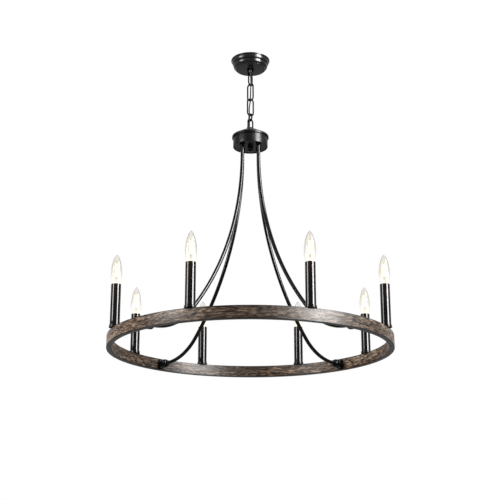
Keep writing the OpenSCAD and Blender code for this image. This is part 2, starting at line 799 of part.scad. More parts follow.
// The round piece between the ferrule and the pad. The tube stands in one end of it and the
// stud in the other.
module arm_barrels() {
    r = barrel_d / 2;
    round_in = [for (a = [0 : 15 : 90]) [r - barrel_edge * (1 - sin(a)), barrel_edge * (1 - cos(a))]];
    round_out = [for (a = [0 : 15 : 90])
        [r - barrel_edge * (1 - cos(a)), barrel_length - barrel_edge * (1 - sin(a))]];
    color(black_colour) for (az = arm_az) along_arm_end(az, barrel_r) rotate_extrude() polygon(concat(
        [
            [stud_d / 2 + fit, barrel_length], [stud_d / 2 + fit, tube_seat],
            [arm_d / 2 + fit, tube_seat], [arm_d / 2 + fit, 0]
        ],
        round_in, round_out
    ));
}

// The plate between the barrel and the ring, bent to the ring's inner face.
module arm_pads() {
    half_angle = asin(pad_w / 2 / ring_inner_r);
    color(black_colour) for (az = arm_az) difference() {
        at_azimuth(az) rotate([0, 0, -half_angle]) rotate_extrude(angle = 2 * half_angle, $fn = ring_fn)
            translate([pad_r, arm_end_z - pad_h / 2]) square([pad_t, pad_h]);
        along_arm_end(az, pad_r - cut) cylinder(r = stud_d / 2 + fit, h = pad_t + 2 * cut);
    }
}

module arm_studs() {
    color(steel_colour) for (az = arm_az)
        along_arm_end(az, stud_in_r) pipe(stud_d, post_bore, stud_out_r - stud_in_r);
}

module stud_nuts() {
    color(steel_colour) for (az = arm_az)
        along_arm_end(az, ring_inner_r + ring_wall) hex_nut(stud_nut_af, stud_nut_h, stud_d);
}

// The lead in each arm, from the junction to the wire in the ring.
module arm_wires() {
    color("#3a3a3a") for (az = arm_az) arm_bar(az, lead_d, junction_z, ring_wire_r - lead_d / 2);
}

// ---------------------------------------------------------------- ring

// A channel of bent sheet, open below, with holes for the candle posts and the arm studs.
module ring_channel() {
    color(wood_colour) difference() {
        translate([0, 0, ring_top_z]) rotate_extrude($fn = ring_fn) polygon([
            [ring_inner_r, ring_edge - ring_h], [ring_inner_r, -ring_edge], [ring_inner_r + ring_edge, 0],
            [ring_outer_r - ring_edge, 0], [ring_outer_r, -ring_edge], [ring_outer_r, ring_edge - ring_h],
            [ring_outer_r - ring_edge, -ring_h], [ring_outer_r - ring_wall, -ring_h],
            [ring_outer_r - ring_wall, -ring_wall], [ring_inner_r + ring_wall, -ring_wall],
            [ring_inner_r + ring_wall, -ring_h], [ring_inner_r + ring_edge, -ring_h]
        ]);
        at_each_candle() translate([0, 0, -ring_wall - cut])
            cylinder(r = post_d / 2 + fit, h = ring_wall + 2 * cut);
        for (az = arm_az) along_arm_end(az, ring_inner_r - cut)
            cylinder(r = stud_d / 2 + fit, h = ring_wall + 2 * cut);
    }
}

// The strip that closes the channel from below.
module ring_floor() {
    color(wood_colour) translate([0, 0, ring_top_z - ring_h]) rotate_extrude($fn = ring_fn)
        translate([ring_inner_r + ring_wall + fit, 0])
            square([ring_t - 2 * ring_wall - 2 * fit, ring_wall]);
}

// The wire that runs round inside the ring, with a branch up each post to its socket.
module ring_wires() {
    color("#3a3a3a") {
        translate([0, 0, arm_end_z]) rotate_extrude($fn = ring_fn)
            translate([ring_wire_r, 0]) circle(d = lead_d);
        at_each_candle() translate([0, 0, -ring_h / 2 - branch_foot])
            cylinder(d = lead_d, h = branch_foot + ring_h / 2 + socket_z + socket_floor);
    }
}

// ---------------------------------------------------------------- candles

module candle_posts() {
    color(steel_colour) at_each_candle() translate([0, 0, -post_tail])
        pipe(post_d, post_bore, post_tail + socket_z + post_seat);
}

// A nut inside the ring, with two of its flats along the ring's walls, and one on the floor of
// the cup, on each post.
module post_locknuts() {
    color(steel_colour) at_each_candle() rotate([0, 0, 30])
        for (foot_z = [-ring_wall - post_nut_h, cup_floor])
            translate([0, 0, foot_z]) hex_nut(post_nut_af, post_nut_h, post_d);
}

module candle_cups() {
    inner_r = sleeve_d / 2 + cup_play;
    rim_r = inner_r + cup_wall;
    edge = 0.5;
    color(black_colour) at_each_candle() rotate_extrude() polygon([
        [post_d / 2 + fit, 0], [rim_r + cup_flare, 0], [rim_r + cup_flare, 1], [rim_r, 2.2],
        [rim_r, cup_h - edge], [rim_r - edge, cup_h], [inner_r, cup_h], [inner_r, cup_floor],
        [post_d / 2 + fit, cup_floor]
    ]);
}

module candle_sleeves() {
    color(black_colour) at_each_candle() translate([0, 0, cup_floor])
        pipe(sleeve_d, sleeve_d - 2 * sleeve_wall, sleeve_top - cup_floor);
}

// The insulating socket: it stands on the post and holds the brass shell.
module socket_bodies() {
    shell_r = shell_bore / 2 + shell_wall + fit;
    color("#222224") at_each_candle() translate([0, 0, socket_z]) rotate_extrude() polygon([
        [post_d / 2 + fit, 0], [socket_d / 2, 0], [socket_d / 2, socket_length], [shell_r, socket_length],
        [shell_r, socket_floor], [lead_d / 2 + fit, socket_floor], [lead_d / 2 + fit, post_seat],
        [post_d / 2 + fit, post_seat]
    ]);
}

module socket_shells() {
    color(brass_colour) at_each_candle() translate([0, 0, socket_top_z - shell_length])
        pipe(shell_bore + 2 * shell_wall, shell_bore, shell_length);
}

// The centre contact on the floor of each socket, just under the bulb's tip.
module socket_contacts() {
    h = base_z - base_tip_h - contact_gap - socket_z - socket_floor;
    color(brass_colour) at_each_candle() translate([0, 0, socket_z + socket_floor]) {
        cylinder(d = base_tip_d + 1, h = 1);
        cylinder(d = base_tip_d - 1, h = h);
    }
}

// ---------------------------------------------------------------- bulbs

belly_r = bulb_d / 2;
neck_r = bulb_neck_d / 2;

// Radius of the glass at a height, above and below the widest place.
function glass_r(z) =
    z > bulb_belly_z
        ? belly_r * pow(1 - pow((z - bulb_belly_z) / (bulb_top_z - bulb_belly_z), 2), tip_power)
        : neck_r + (belly_r - neck_r)
            * (1 - pow((bulb_belly_z - z) / (bulb_belly_z - bulb_neck_z), neck_power));

glass_steps = 20;
neck_steps = 6;
foot_edge = 1;
tip_wall = 1.5 * glass_wall;
// Outline heights: even steps up to the widest place, then closer and closer to the tip.
glass_line = concat(
    [[neck_r - foot_edge, base_top_z], [neck_r, base_top_z + foot_edge]],
    [
        for (i = [0 : neck_steps])
            let (z = bulb_neck_z + (bulb_belly_z - bulb_neck_z) * i / neck_steps) [glass_r(z), z]
    ],
    [
        for (i = [1 : glass_steps - 1])
            let (z = bulb_belly_z + (bulb_top_z - bulb_belly_z) * sin(90 * i / glass_steps))
                [glass_r(z), z]
    ]
);

// The glass envelope with its flat foot and the stem that stands inside it. The inner line is
// the outer one stepped in by the wall and, towards the tip, down by it as well.
module bulb_glass(k) {
    last = len(glass_line) - 1;
    belly = 2 + neck_steps;
    inner = [
        for (i = [last : -1 : 1])
            [max(glass_line[i][0] - glass_wall, 0.01), glass_line[i][1] - (i > belly ? glass_wall * i / last : 0)]
    ];
    color(glass_colour, 0.5) at_candle(k) rotate_extrude() polygon(concat(
        [[0, base_top_z]], glass_line, [[0, bulb_top_z], [0, bulb_top_z - tip_wall]], inner,
        [
            [stem_d / 2, base_top_z + 2 * foot_edge], [stem_d / 2 - stem_edge / 2, stem_top_z - stem_edge],
            [stem_d / 2 - 1.5 * stem_edge, stem_top_z], [0, stem_top_z]
        ]
    ));
}

// The screw base with its rolled thread and tip, and the four filaments with their support.
module bulb_base(k) {
    r = base_d / 2;
    pitch = (base_length - thread_foot - thread_head) / thread_rings;
    thread = [
        for (i = [0 : thread_rings - 1], half = [0, 1])
            [r - half * thread_depth, base_z + thread_foot + (i + half / 2) * pitch]
    ];
    at_candle(k) {
        color(brass_colour) rotate_extrude() polygon(concat(
            [
                [0, base_z - base_tip_h], [base_tip_d / 2 - base_tip_edge, base_z - base_tip_h],
                [base_tip_d / 2, base_z - base_tip_h + base_tip_edge], [base_tip_d / 2, base_z],
                [r - base_edge, base_z], [r - thread_depth, base_z + base_edge]
            ],
            thread,
            [
                [r - thread_depth, base_top_z - thread_head], [r, base_top_z - thread_head + 1],
                [r, base_top_z]
            ],
            [[0, base_top_z]]
        ));
        color("#ffcf7a") {
            head_z = stem_top_z + filament_length * cos(filament_tilt);
            for (i = [0 : filament_count - 1]) rotate([0, 0, (i + 0.5) * 360 / filament_count]) {
                translate([filament_foot_r - filament_d / 4, 0, stem_top_z])
                    rotate([0, filament_tilt, 0]) cylinder(d = filament_d, h = filament_length);
                translate([0, 0, head_z - filament_d]) rotate([0, 90, 0])
                    cylinder(d = support_d, h = filament_head_r - support_d);
            }
            translate([0, 0, stem_top_z]) cylinder(d = support_d, h = head_z - stem_top_z + filament_d);
            translate([0, 0, stem_top_z]) cylinder(d = 2 * filament_foot_r, h = support_d);
        }
    }
}

// ---------------------------------------------------------------- what is drawn

crossbar();
canopy_nipple();
canopy_locknuts();
canopy();
canopy_loop();
ground_screw();
terminal_block();
canopy_bushing();
power_cord();
top_link();
link_2();
link_3();
short_link();
hub_loop();
hub_cap();
hub_bushing();
hub_body();
hub_plate();
hub_rod();
rod_locknuts();
hub_finial();
hub_junction();
arm(0);  // arm_1
arm(1);  // arm_2
arm(2);  // arm_3
arm(3);  // arm_4
arm_collars();
arm_locknuts();
arm_ferrules();
arm_barrels();
arm_pads();
arm_studs();
stud_nuts();
arm_wires();
ring_channel();
ring_floor();
ring_wires();
candle_posts();
post_locknuts();
candle_cups();
candle_sleeves();
socket_bodies();
socket_shells();
socket_contacts();
bulb_glass(0);  // bulb_glass_1
bulb_glass(1);  // bulb_glass_2
bulb_glass(2);  // bulb_glass_3
bulb_glass(3);  // bulb_glass_4
bulb_glass(4);  // bulb_glass_5
bulb_glass(5);  // bulb_glass_6
bulb_glass(6);  // bulb_glass_7
bulb_glass(7);  // bulb_glass_8
bulb_base(0);  // bulb_base_1
bulb_base(1);  // bulb_base_2
bulb_base(2);  // bulb_base_3
bulb_base(3);  // bulb_base_4
bulb_base(4);  // bulb_base_5
bulb_base(5);  // bulb_base_6
bulb_base(6);  // bulb_base_7
bulb_base(7);  // bulb_base_8
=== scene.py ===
# %% [markdown]
# # A wagon wheel chandelier
#
# A ring of sheet steel, painted to look like weathered wood, carries eight candle lamps. Four
# bent black tubes lift it to a round hub, and a short chain hangs the hub from a canopy.
# The measured solids come from the CAD model. Here they get their finishes, and the parts
# that catch the light are drawn again as smooth surfaces.

# %% Load the measured model
import math
import bmesh
import bpy
import numpy as np
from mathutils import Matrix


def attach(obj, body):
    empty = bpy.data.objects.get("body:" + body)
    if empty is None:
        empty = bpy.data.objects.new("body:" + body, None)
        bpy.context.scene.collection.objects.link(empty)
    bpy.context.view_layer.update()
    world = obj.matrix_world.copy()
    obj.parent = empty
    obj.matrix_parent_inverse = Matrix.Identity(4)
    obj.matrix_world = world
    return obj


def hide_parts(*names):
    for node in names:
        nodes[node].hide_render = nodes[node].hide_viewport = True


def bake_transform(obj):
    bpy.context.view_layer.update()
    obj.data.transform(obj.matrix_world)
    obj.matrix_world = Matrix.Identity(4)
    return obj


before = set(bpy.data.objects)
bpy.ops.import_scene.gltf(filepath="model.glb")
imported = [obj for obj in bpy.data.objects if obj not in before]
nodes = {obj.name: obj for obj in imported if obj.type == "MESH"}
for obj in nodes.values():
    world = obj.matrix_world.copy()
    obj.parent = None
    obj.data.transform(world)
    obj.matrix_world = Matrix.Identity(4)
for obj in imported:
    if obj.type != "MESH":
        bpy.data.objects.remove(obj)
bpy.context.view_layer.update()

# %% [markdown]
# ## The camera
#
# The photograph looks up at the light: the ring's far side appears below its near side. The
# camera's height, distance and lens were worked out from the ring's ellipse and from the
# widths of the canopy and the hub. A long lens keeps the perspective as gentle as it is there.

# %% Camera
scene = bpy.context.scene
scene.view_settings.view_transform = "Standard"
lens = bpy.data.cameras.new("camera")
lens.lens, lens.sensor_width = 78.985, 36.0
camera = bpy.data.objects.new("camera", lens)
camera.location = (-0.00107, -2.6762, -1.35185)
camera.rotation_euler = (math.radians(107.018), 0.0, 0.0)
scene.collection.objects.link(camera)
scene.camera = camera
print("camera at", tuple(camera.location))

# %% [markdown]
# ## Surfaces from arrays
#
# Every new part is a grid of points: one direction of the grid follows an outline and the
# other goes round or along. Working on whole arrays keeps the shape readable as a formula.
# The grid's two directions also give each part its own UV map, in metres.

# %% Grid to mesh
MM = 0.001


def quad_corners(rows, columns):
    """Corner numbers of a grid's quads: point (i, j) is number i * columns + j."""
    i, j = np.arange(rows - 1)[:, None], np.arange(columns - 1)[None, :]
    first = i * columns + j
    return np.stack([first, first + 1, first + columns + 1, first + columns], -1).reshape(-1, 4)


def walked(points):
    """Distance walked along the grid's first direction, taken in its middle column."""
    line = points[:, points.shape[1] // 2]
    return np.append(0.0, np.cumsum(np.linalg.norm(np.diff(line, axis=0), axis=1)))


def grid_uv(points):
    """UV of a grid: metres walked down the rows and metres walked across the widest row."""
    spans = np.linalg.norm(np.diff(points, axis=1), axis=2)
    across = np.append(0.0, np.cumsum(spans[spans.sum(1).argmax()]))
    u, v = np.meshgrid(walked(points), across, indexing="ij")
    return np.stack([u, v], -1).reshape(-1, 2) * MM


# %% Make a piece
def make_piece(name, grids, finish, cavities=(), sharp=30):
    """One mesh from grids of points in millimetres. Grids in `cavities` are hollows inside the
    others, so their faces look the other way."""
    grids = list(grids) + list(cavities)
    counts = [g.shape[0] * g.shape[1] for g in grids]
    starts = np.append(0, np.cumsum(counts))[:-1]
    quads = [quad_corners(*g.shape[:2]) + s for g, s in zip(grids, starts)]
    solid_grids = len(grids) - len(cavities)
    inside = np.concatenate([np.full(len(q), k >= solid_grids) for k, q in enumerate(quads)])
    corners = np.concatenate([g.reshape(-1, 3) for g in grids]) * MM
    faces = np.concatenate(quads)
    mesh = bpy.data.meshes.new(name)
    mesh.from_pydata(corners.tolist(), [], faces.tolist())
    uv = np.concatenate([grid_uv(g) for g in grids])[faces.reshape(-1)]
    mesh.uv_layers.new(name="UVMap").data.foreach_set("uv", uv.astype(np.float32).reshape(-1))
    mesh.attributes.new("cavity", "INT", "FACE").data.foreach_set("value", inside.astype(np.int32))
    shape = bmesh.new()
    shape.from_mesh(mesh)
    bmesh.ops.remove_doubles(shape, verts=shape.verts, dist=1e-6)
    bmesh.ops.recalc_face_normals(shape, faces=shape.faces)
    mark = shape.faces.layers.int["cavity"]
    bmesh.ops.reverse_faces(shape, faces=[f for f in shape.faces if f[mark]])
    shape.faces.layers.int.remove(mark)
    shape.to_mesh(mesh)
    shape.free()
    mesh.polygons.foreach_set("use_smooth", np.ones(len(mesh.polygons), bool))
    mesh.set_sharp_from_angle(angle=math.radians(sharp))
    mesh.materials.append(finish)
    piece = bpy.data.objects.new(name, mesh)
    scene.collection.objects.link(piece)
    return piece


def stand_in(piece, body, slot, *cad_nodes):
    """The piece rides on a body and stands for CAD nodes, which it hides. The slot is not used."""
    if body:
        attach(piece, body)
    if cad_nodes:
        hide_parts(*cad_nodes)
    print(f"{piece.name}: {len(piece.data.polygons)} faces, stands for {', '.join(cad_nodes)}")


# %% Outlines and turned shapes
def rounded(outline, radius, steps=6):
    """Each inner corner becomes a curve: from `radius` before it to `radius` after it, the
    point (1-t)^2 p + 2 t (1-t) corner + t^2 q."""
    p = np.asarray(outline, float)
    before, corner, after = p[:-2], p[1:-1], p[2:]
    back, on = before - corner, after - corner
    reach_back, reach_on = (np.linalg.norm(d, axis=1, keepdims=True) for d in (back, on))
    cut = np.minimum(radius, 0.45 * np.minimum(reach_back, reach_on))
    start, end = corner + back / reach_back * cut, corner + on / reach_on * cut
    t = np.linspace(0, 1, steps)[None, :, None]
    curve = (1 - t) ** 2 * start[:, None] + 2 * t * (1 - t) * corner[:, None] + t**2 * end[:, None]
    return np.concatenate([p[:1], curve.reshape(-1, 2), p[-1:]])


def loop(outline, radius, steps=6):
    """A closed outline with rounded corners, which starts and ends halfway along a side."""
    p = np.asarray(outline, float)
    middle = (p[:1] + p[-1:]) / 2
    return rounded(np.concatenate([middle, p, middle]), radius, steps)


def turned(outline, steps=96):
    """An outline of (radius, height) turned about the upright axis: the point at angle t is
    (radius cos t, radius sin t, height)."""
    p = np.asarray(outline, float)
    t = np.linspace(0, 2 * np.pi, steps + 1)[None, :]
    r, z = p[:, 0][:, None], p[:, 1][:, None]
    return np.stack([r * np.cos(t), r * np.sin(t), z + 0 * t], -1)


def lying(points):
    """A turned shape laid down, so that its axis points outwards along +X."""
    return np.stack([points[..., 2], points[..., 1], -points[..., 0]], -1)


def placed(points, azimuth, out=0.0, up=0.0):
    """Moved `out` along +X and `up`, then turned so that +X points to an azimuth from the front."""
    a = math.radians(azimuth - 90)
    x, y, z = points[..., 0] + out, points[..., 1], points[..., 2] + up
    return np.stack([x * math.cos(a) - y * math.sin(a), x * math.sin(a) + y * math.cos(a), z], -1)


print("a unit ring has", turned([[1, 0], [1, 1]], 12).shape, "points")

# %% [markdown]
# ## Finishes
#
# Each finish is a small tree of nodes on a Principled shader. Noise on Object coordinates
# breaks up its colour and its gloss, as real lacquer, plating and paint are never even.
# Values that are the same all over sit on the shader's own sockets.


# %% Node helpers
def new_finish(name, **sockets):
    """A material with a Principled shader whose even values are set on its own sockets."""
    material = bpy.data.materials.new(name)
    material.use_nodes = True
    tree = material.node_tree
    tree.nodes.clear()
    output = tree.nodes.new("ShaderNodeOutputMaterial")
    shader = tree.nodes.new("ShaderNodeBsdfPrincipled")
    tree.links.new(shader.outputs["BSDF"], output.inputs["Surface"])
    for socket, value in sockets.items():
        shader.inputs[socket.replace("_", " ")].default_value = value
    return material, tree, shader


def add(tree, kind, inputs=None, **fields):
    """A node with its fields set and its inputs given as values or as other nodes' outputs."""
    made = tree.nodes.new("ShaderNode" + kind)
    for field, value in fields.items():
        setattr(made, field, value)
    for socket, value in (inputs or {}).items():
        if isinstance(value, bpy.types.NodeSocket):
            tree.links.new(value, made.inputs[socket])
        else:
            made.inputs[socket].default_value = value
    return made


def place(tree):
    """Object coordinates, which stay with the part."""
    return add(tree, "TexCoord").outputs["Object"]


def stretched(tree, vector, x, y, z):
    """Coordinates multiplied by x, y and z."""
    return add(tree, "VectorMath", {0: vector, 1: (x, y, z)}, operation="MULTIPLY").outputs[0]


def noise(tree, vector, scale, detail=3.0, rough=0.5):
    """Cloudy noise between 0 and 1."""
    inputs = {"Vector": vector, "Scale": scale, "Detail": detail, "Roughness": rough}
    return add(tree, "TexNoise", inputs).outputs["Fac"]


def spread(tree, factor, low, high, at_low=0.3, at_high=0.7):
    """A number that goes from low to high as the factor goes from at_low to at_high."""
    inputs = {"Value": factor, "From Min": at_low, "From Max": at_high, "To Min": low, "To Max": high}
    return add(tree, "MapRange", inputs).outputs["Result"]


def shades(tree, factor, stops):
    """A colour ramp: stops are (position, colour)."""
    ramp = add(tree, "ValToRGB", {"Fac": factor})
    elements = ramp.color_ramp.elements
    while len(elements) < len(stops):
        elements.new(0.5)
    for element, (position, colour) in zip(elements, stops):
        element.position, element.color = position, (*colour, 1.0)
    return ramp.outputs["Color"]


def math_node(tree, operation, a, b=0.0):
    """One sum on one or two numbers."""
    return add(tree, "Math", {0: a, 1: b}, operation=operation).outputs[0]


def split(tree, vector):
    """The x, y and z of a vector, each as an output."""
    return add(tree, "SeparateXYZ", {0: vector}).outputs


def radius_of(tree, parts):
    """Distance from the upright axis: the length of (x, y)."""
    flat = add(tree, "CombineXYZ", {0: parts[0], 1: parts[1]}).outputs[0]
    return add(tree, "VectorMath", {0: flat}, operation="LENGTH").outputs["Value"]


def mixed(tree, blend_type, factor, a, b):
    """Two colours mixed. Sockets 6 and 7 of the Mix node are its colours, and output 2 is theirs."""
    node = add(tree, "Mix", data_type="RGBA", blend_type=blend_type)
    for index, value in ((0, factor), (6, a), (7, b)):
        if isinstance(value, bpy.types.NodeSocket):
            tree.links.new(value, node.inputs[index])
        else:
            node.inputs[index].default_value = value
    return node.outputs[2]


def relief(tree, shader, height, distance):
    """Fine relief: a height, times a distance in metres, tips the shader's normal."""
    bump = add(tree, "Bump", {"Height": height, "Distance": distance})
    tree.links.new(bump.outputs["Normal"], shader.inputs["Normal"])


print("helpers ready")


# %% [markdown]
# ### Black lacquer
#
# The canopy, chain, hub and arms are stove-enamelled black. Sprayed lacquer has a very fine
# orange-peel skin and a gloss that drifts a little. A low specular level keeps the black deep
# while the studio lamps still draw bright lines on it.


# %% Heights on the candle lamps
ring_top = -765.997  # millimetres; the ceiling is at 0
SLEEVE_TOP = 106  # heights above the ring's top
# From this height up the sleeves get a painted glow of the bulbs' light.
GLOW_FROM = 50
BULB_TIP = 181
print("the ring's top is at", ring_top, "mm")


# %% Black lacquer
def lacquer(name, tint, gloss_low, gloss_high, specular, peel, glow_top=None):
    """Lacquer over metal: near-black, with drifting gloss and an orange-peel relief. A candle
    sleeve turns brown towards its top, as painted light from the bulb above it."""
    material, tree, shader = new_finish(name, Specular_IOR_Level=specular, IOR=1.5)
    at = place(tree)
    cloud = noise(tree, at, 38.0, 4.0)
    dark = tuple(0.6 * c for c in tint)
    colour = shades(tree, cloud, [(0.3, dark), (0.72, tint)])
    # Painted light: the sleeve's top turns brown where the bulb's light falls on it.
    if glow_top:
        low, high = ((ring_top + h) * MM for h in (GLOW_FROM, SLEEVE_TOP))
        bulb_glow = spread(tree, split(tree, at)[2], 0.0, 1.0, low, high)
        colour = mixed(tree, "MIX", bulb_glow, colour, glow_top)
    tree.links.new(colour, shader.inputs["Base Color"])
    gloss = spread(tree, noise(tree, at, 95.0, 3.0), gloss_low, gloss_high)
    tree.links.new(gloss, shader.inputs["Roughness"])
    relief(tree, shader, noise(tree, at, 900.0, 2.0), peel * MM)
    return material


black_lacquer = lacquer("black_lacquer", (0.004, 0.004, 0.0043), 0.15, 0.22, 0.07, 0.001)
hub_lacquer = lacquer("hub_lacquer", (0.004, 0.004, 0.0043), 0.28, 0.36, 0.07, 0.001)
# The canopy's lacquer is a paler copy of the black, as painted reflection: it stands for the grey its
# gloss shows.
canopy_lacquer = lacquer("canopy_lacquer", (0.016, 0.0145, 0.017), 0.2, 0.27, 0.12, 0.001)
tube_lacquer = lacquer("tube_lacquer", (0.003, 0.003, 0.003), 0.13, 0.19, 0.09, 0.0006)
chain_lacquer = lacquer("chain_lacquer", (0.003, 0.003, 0.003), 0.22, 0.3, 0.025, 0.001)
# The sleeves' brown tops are painted light from the bulbs.
sleeve_lacquer = lacquer("sleeve_lacquer", (0.003, 0.0025, 0.002), 0.05, 0.08, 0.10, 0.0001,
                         glow_top=(0.016, 0.007, 0.004, 1.0))
print("lacquers:", black_lacquer.name, tube_lacquer.name, sleeve_lacquer.name)

# %% [markdown]
# ### Wood-grain paint
#
# The ring is steel with a printed brown-grey grain and a dull sheen. Grain runs along the ring
# on every face. Noise on (x, y, h) does this without a seam: x and y are squeezed little, so
# the streaks are long, and h = height + radius changes fast across each face. Painted shade
# darkens the middle of the ring's front and back and its underside, painted light brightens
# its sides, and the paint is darker at the edges.


# %% Wood-grain paint
def grain_coordinates(tree, along, across):
    """(x, y) times `along`, and height plus radius times `across`, so that streaks run round."""
    parts = split(tree, place(tree))
    h = math_node(tree, "ADD", parts[2], radius_of(tree, parts))
    h = math_node(tree, "MULTIPLY", h, across)
    x, y = (math_node(tree, "MULTIPLY", parts[k], along) for k in (0, 1))
    return add(tree, "CombineXYZ", {0: x, 1: y, 2: h}).outputs[0]


RING_H = 30  # millimetres
EDGE_FROM, EDGE_TO = 12.0, 14.0  # the dark edge, in millimetres from the ring's middle height
MIDDLE_TO, SIDE_FROM = 0.03, 0.16  # painted shade in the middle of the ring's front and back, in metres from x = 0
WHITE = (1, 1, 1)


def printed_grain(tree, fibres):
    """Colour of the print: broad bands of four tones, times fibres, pores and short strokes."""
    bands = noise(tree, grain_coordinates(tree, 5.0, 60.0), 1.0, 3.0, 0.55)
    pores = noise(tree, grain_coordinates(tree, 100.0, 330.0), 1.0, 2.0, 0.5)
    hatch = noise(tree, grain_coordinates(tree, 70.0, 500.0), 1.0, 1.0, 0.5)
    ground = shades(tree, bands, [(0.34, (0.078, 0.052, 0.035)), (0.46, (0.124, 0.088, 0.063)),
                                  (0.56, (0.172, 0.130, 0.097)), (0.70, (0.24, 0.192, 0.155))])
    fibre = shades(tree, fibres, [(0.41, (0.56, 0.51, 0.48)), (0.59, (1.28, 1.28, 1.28))])
    pore = shades(tree, pores, [(0.40, (0.40, 0.34, 0.30)), (0.47, WHITE)])
    stroke = shades(tree, hatch, [(0.38, (0.16, 0.14, 0.13)), (0.5, (0.9, 0.9, 0.9)),
                                  (0.62, (2.4, 2.4, 2.4))])
    colour = mixed(tree, "MULTIPLY", 1.0, ground, fibre)
    colour = mixed(tree, "MULTIPLY", 0.85, colour, pore)
    return mixed(tree, "MULTIPLY", 1.0, colour, stroke)


def wood_paint(name, specular):
    """The print, with painted shade in the middle of the front and back and on faces that look down,
    painted light at the sides, and darker at the ring's edges.
    """
    material, tree, shader = new_finish(name, Specular_IOR_Level=specular)
    fibres = noise(tree, grain_coordinates(tree, 24.0, 230.0), 1.0, 4.0, 0.6)
    colour = printed_grain(tree, fibres)
    parts = split(tree, place(tree))
    # Painted shade in the middle of the ring's front and back, where x is near 0, and painted light at
    # its sides.
    shade_in_middle = math_node(tree, "ABSOLUTE", parts[0])
    shade_in_middle = spread(tree, shade_in_middle, 0.0, 1.0, MIDDLE_TO, SIDE_FROM)
    middle_z = (ring_top - RING_H / 2) * MM
    from_middle = math_node(tree, "ABSOLUTE", math_node(tree, "SUBTRACT", parts[2], middle_z))
    # Darker within two millimetres of the top and bottom and all over the top face and underside; on the
    # underside this is painted shade.
    edge = spread(tree, from_middle, 1.0, 0.08, EDGE_FROM * MM, EDGE_TO * MM)
    # Painted shade on faces that look down.
    shade_below = split(tree, add(tree, "TexCoord").outputs["Normal"])[2]
    shade_below = spread(tree, shade_below, 0.0, 1.0, -0.95, -0.6)
    # Three masks: painted shade in the middle with painted light at the sides, the dark edges, and
    # painted shade below.
    for factor, at_0, at_1 in (
        (shade_in_middle, (0.55, 0.49, 0.44), (1.12, 1.1, 1.08)),
        (edge, (0, 0, 0), WHITE),
        (shade_below, (0.08, 0.075, 0.07), WHITE),
    ):
        colour = mixed(tree, "MULTIPLY", 1.0, colour, shades(tree, factor, [(0, at_0), (1, at_1)]))
    tree.links.new(colour, shader.inputs["Base Color"])
    tree.links.new(spread(tree, fibres, 0.46, 0.34), shader.inputs["Roughness"])
    relief(tree, shader, fibres, 0.03 * MM)
    return material


ring_paint = wood_paint("ring_paint", 0.085)
print(ring_paint.name)

# %% [markdown]
# ### Metals, plastics and glass
#
# Inside the light are zinc-plated nuts and rods, brass shells, and moulded plastic. They show
# when a part is taken off, so each has its own finish: a thread as a sine along its axis,
# brushing as stretched noise, and a faint mould grain.


# %% Metals
THREAD_PITCH = 1.0  # millimetres, on rods and studs


def plated(name, colour, dull, threaded=None):
    """Metal with a drifting tone. `threaded` is "Z" for an upright rod or "out" for a lying one."""
    material, tree, shader = new_finish(name, Metallic=1.0)
    at = place(tree)
    cloud = noise(tree, at, 120.0, 4.0)
    pale, deep = colour, tuple(0.72 * c for c in colour)
    tree.links.new(shades(tree, cloud, [(0.3, deep), (0.7, pale)]), shader.inputs["Base Color"])
    tree.links.new(spread(tree, noise(tree, at, 300.0), dull, dull + 0.14), shader.inputs["Roughness"])
    if threaded:
        parts = split(tree, at)
        travel = parts[2] if threaded == "Z" else radius_of(tree, parts)
        turns = math_node(tree, "MULTIPLY", travel, 2 * math.pi / (THREAD_PITCH * MM))
        relief(tree, shader, math_node(tree, "SINE", turns), 0.12 * MM)
    else:
        relief(tree, shader, noise(tree, at, 1400.0, 2.0), 0.01 * MM)
    return material


zinc = plated("zinc_plate", (0.62, 0.63, 0.64), 0.28)
threaded_rod = plated("threaded_rod", (0.60, 0.61, 0.62), 0.26, "Z")
threaded_stud = plated("threaded_stud", (0.60, 0.61, 0.62), 0.26, "out")
brass = plated("brass", (0.80, 0.58, 0.25), 0.2)
nickel = plated("nickel_wire", (0.42, 0.41, 0.39), 0.25)
print("metals:", zinc.name, brass.name, nickel.name)


# %% Plastics and wire
def moulded(name, pale, deep, dull, grain):
    """Moulded plastic or paint with a fine skin."""
    material, tree, shader = new_finish(name, Specular_IOR_Level=0.1)
    at = place(tree)
    tree.links.new(shades(tree, noise(tree, at, 160.0, 5.0), [(0.3, deep), (0.7, pale)]),
                   shader.inputs["Base Color"])
    tree.links.new(spread(tree, noise(tree, at, 420.0), dull, dull + 0.12), shader.inputs["Roughness"])
    relief(tree, shader, noise(tree, at, grain, 2.0), 0.03 * MM)
    return material


black_plastic = moulded("black_phenolic", (0.030, 0.029, 0.029), (0.018, 0.018, 0.018), 0.34, 1800.0)
ivory_plastic = moulded("ivory_terminal", (0.74, 0.68, 0.56), (0.66, 0.60, 0.48), 0.38, 1500.0)
green_paint = moulded("green_screw", (0.05, 0.26, 0.09), (0.03, 0.19, 0.06), 0.3, 2200.0)
wire_skin = moulded("wire_insulation", (0.034, 0.033, 0.032), (0.02, 0.02, 0.02), 0.42, 2600.0)
print("plastics:", black_plastic.name, ivory_plastic.name, green_paint.name, wire_skin.name)

# %% [markdown]
# ### Lit glass and filaments
#
# A clear bulb against a white room shows only its rim, where the wall is seen edge on. Layer
# Weight gives the glass a grey tint there. The lit filaments warm the middle, so the glass
# also glows softly, most at the height of the filaments and not at all at the tip.


